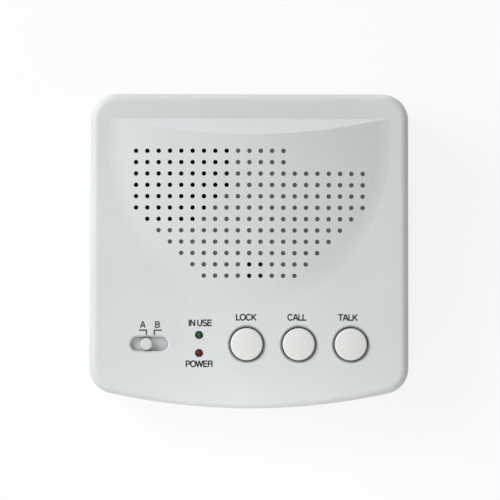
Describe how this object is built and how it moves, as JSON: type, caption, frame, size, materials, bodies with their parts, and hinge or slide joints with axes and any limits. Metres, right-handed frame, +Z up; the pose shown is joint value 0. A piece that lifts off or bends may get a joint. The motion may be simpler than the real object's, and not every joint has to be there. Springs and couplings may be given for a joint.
{
  "type": "desk intercom",
  "caption": "Low wedge-shaped desk intercom with a raised perforated speaker mound, push buttons, a channel selector slide and indicator lamps.",
  "frame": {"origin": "middle of the footprint, on the table under the rubber feet", "axes": "+Z up, the user sits on the -Y side with the buttons nearest, +X to the user's right"},
  "size_m": [0.1412, 0.1416, 0.0493],
  "materials": {
    "case_plastic": "pale grey moulded plastic with a fine matt texture",
    "base_plastic": "pale grey moulded plastic, matt",
    "button_plastic": "smooth pale grey plastic",
    "slider_plastic": "mid-grey plastic",
    "green_lamp": "tinted green lamp body",
    "red_lamp": "tinted red lamp body",
    "foot_rubber": "black rubber",
    "screw_steel": "zinc-plated steel",
    "inlet_plastic": "black moulded plastic",
    "contact_metal": "plated brass",
    "board_laminate": "brown phenolic laminate",
    "switch_plastic": "black plastic",
    "plunger_plastic": "natural white plastic",
    "spring_steel": "spring steel wire",
    "switch_shell": "plated sheet steel",
    "magnet_ferrite": "dark grey ferrite",
    "pole_iron": "plated iron",
    "cone_paper": "black paper",
    "surround_rubber": "soft black surround",
    "winding_copper": "copper wire",
    "winding_tape": "wound coil under yellow tape",
    "core_iron": "stacked iron laminations",
    "capsule_aluminium": "aluminium",
    "sleeve_plastic": "blue plastic sleeve",
    "resistor_lacquer": "tan lacquer",
    "fuse_glass": "clear glass with metal caps",
    "lead_sleeve": "flexible insulated wire"
  },
  "bodies": {
    "housing": {"top_case": "case_plastic", "bottom_case": "base_plastic", "in_use_lamp": "green_lamp", "power_lamp": "red_lamp", "foot_front_left": "foot_rubber", "foot_front_right": "foot_rubber", "foot_rear_left": "foot_rubber", "foot_rear_right": "foot_rubber", "case_screws": "screw_steel", "board_screws": "screw_steel", "speaker_screws": "screw_steel", "speaker_clamp_washers": "screw_steel", "transformer_screws": "screw_steel", "mains_inlet_housing": "inlet_plastic", "mains_inlet_pins": "contact_metal", "lamp_leads": "contact_metal", "fuse_clips": "contact_metal", "circuit_board": "board_laminate", "lock_switch_body": "switch_plastic", "call_switch_body": "switch_plastic", "talk_switch_body": "switch_plastic", "audio_amplifier_chip": "switch_plastic", "lamp_spacers": "switch_plastic", "rectifier_diodes": "switch_plastic", "board_headers": "plunger_plastic", "lock_spring": "spring_steel", "call_spring": "spring_steel", "talk_spring": "spring_steel", "selector_switch_body": "switch_shell", "rf_coil_cans": "switch_shell", "transformer_bracket": "switch_shell", "speaker_frame": "switch_shell", "speaker_magnet": "magnet_ferrite", "speaker_top_plate": "pole_iron", "speaker_yoke": "pole_iron", "speaker_gasket": "cone_paper", "microphone_boot": "surround_rubber", "transformer_winding": "winding_tape", "transformer_core": "core_iron", "microphone_capsule": "capsule_aluminium", "electrolytic_capacitors": "sleeve_plastic", "film_capacitor": "sleeve_plastic", "resistors": "resistor_lacquer", "fuse": "fuse_glass", "speaker_leads": "lead_sleeve", "microphone_leads": "lead_sleeve", "mains_leads": "lead_sleeve", "transformer_leads": "lead_sleeve"},
    "lock_button": {"lock_button_cap": "button_plastic", "lock_plunger": "plunger_plastic"},
    "call_button": {"call_button_cap": "button_plastic", "call_plunger": "plunger_plastic"},
    "talk_button": {"talk_button_cap": "button_plastic", "talk_plunger": "plunger_plastic"},
    "channel_selector": {"selector_slider": "slider_plastic", "selector_lever": "plunger_plastic"},
    "speaker_diaphragm": {"speaker_cone": "cone_paper", "speaker_dust_cap": "cone_paper", "voice_coil": "winding_copper", "speaker_surround": "surround_rubber"}
  },
  "joints": [
    {"name": "lock_button_press", "type": "slide", "parent": "housing", "child": "lock_button", "axis": [0, 0.1045, -0.9945], "range_m": [0, 0.0025], "stiffness_N_per_m": 300, "springref_m": -0.002, "deforming": ["lock_spring"]},
    {"name": "call_button_press", "type": "slide", "parent": "housing", "child": "call_button", "axis": [0, 0.1045, -0.9945], "range_m": [0, 0.0025], "stiffness_N_per_m": 300, "springref_m": -0.002, "deforming": ["call_spring"]},
    {"name": "talk_button_press", "type": "slide", "parent": "housing", "child": "talk_button", "axis": [0, 0.1045, -0.9945], "range_m": [0, 0.0025], "stiffness_N_per_m": 300, "springref_m": -0.002, "deforming": ["talk_spring"]},
    {"name": "channel_selector_slide", "type": "slide", "parent": "housing", "child": "channel_selector", "axis": [1, 0, 0], "range_m": [0, 0.0035]},
    {"name": "speaker_cone_travel", "type": "slide", "parent": "housing", "child": "speaker_diaphragm", "axis": [0, 0.1045, -0.9945], "range_m": [-0.0005, 0.0005], "stiffness_N_per_m": 1500, "deforming": ["speaker_surround"]}
  ]
}
